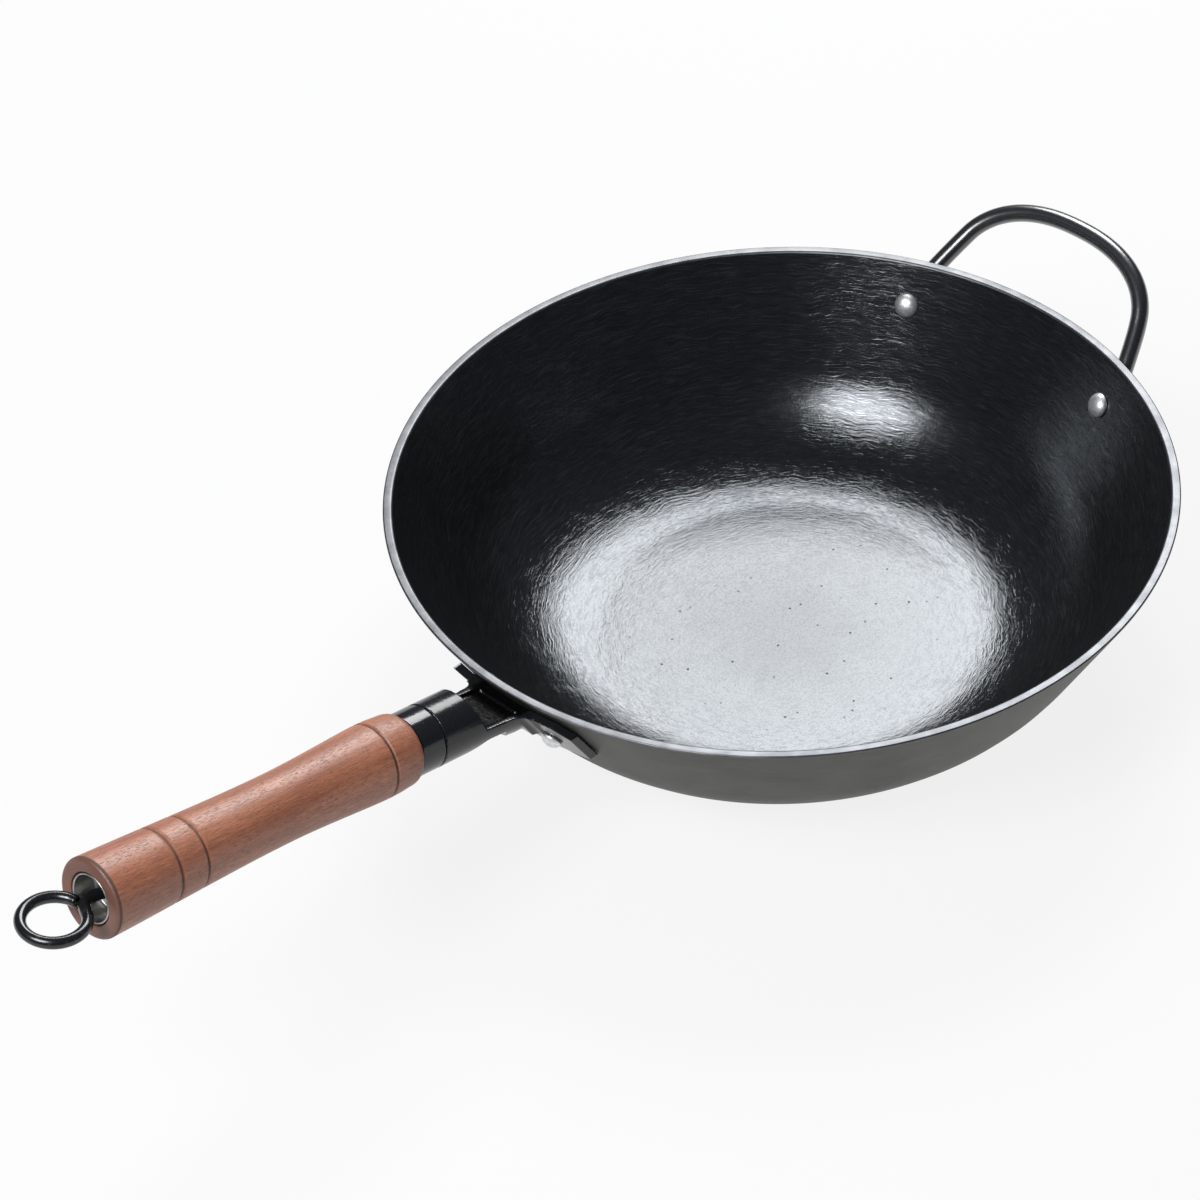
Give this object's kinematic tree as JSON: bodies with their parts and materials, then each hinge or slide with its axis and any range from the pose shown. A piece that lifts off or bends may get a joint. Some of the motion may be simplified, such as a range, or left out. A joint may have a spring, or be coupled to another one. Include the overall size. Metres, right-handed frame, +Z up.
{
  "type": "wok",
  "caption": "Flat-based cast iron wok with a round wooden stick handle in a riveted metal socket, a hanging eye at its end and a bent-bar helper handle opposite.",
  "frame": {"origin": "centre of the flat base, on the surface the wok stands on", "axes": "+Z up out of the bowl, the stick handle along -X, the helper handle at +X"},
  "size_m": [0.5821, 0.32, 0.1315],
  "materials": {
    "iron": "satin blue-black iron, scraped in rings inside, turned outside, with a bare ground rim",
    "black_paint": "gloss black stoved paint",
    "plain_steel": "plain turned steel",
    "grip_wood": "satin oiled red-brown hardwood with short dark pores",
    "cup_steel": "bright drawn steel",
    "black_steel": "gloss black plated rod",
    "rivet_steel": "satin steel"
  },
  "bodies": {
    "wok": {"pan": "iron", "handle_bracket": "black_paint", "socket_nut": "plain_steel", "ferrule": "black_paint", "grip": "grip_wood", "end_cup": "cup_steel", "helper_handle": "black_paint", "bracket_rivet_left": "rivet_steel", "bracket_rivet_right": "rivet_steel", "helper_rivet_left": "rivet_steel", "helper_rivet_right": "rivet_steel"},
    "hanging_eye": {"eye_bolt": "black_steel"}
  },
  "joints": [
    {"name": "hanging_eye_turn", "type": "hinge", "parent": "wok", "child": "hanging_eye", "pos_m": [-0.3614, 0, 0.11644], "axis": [-0.9774, 0, 0.2113], "continuous": true}
  ]
}
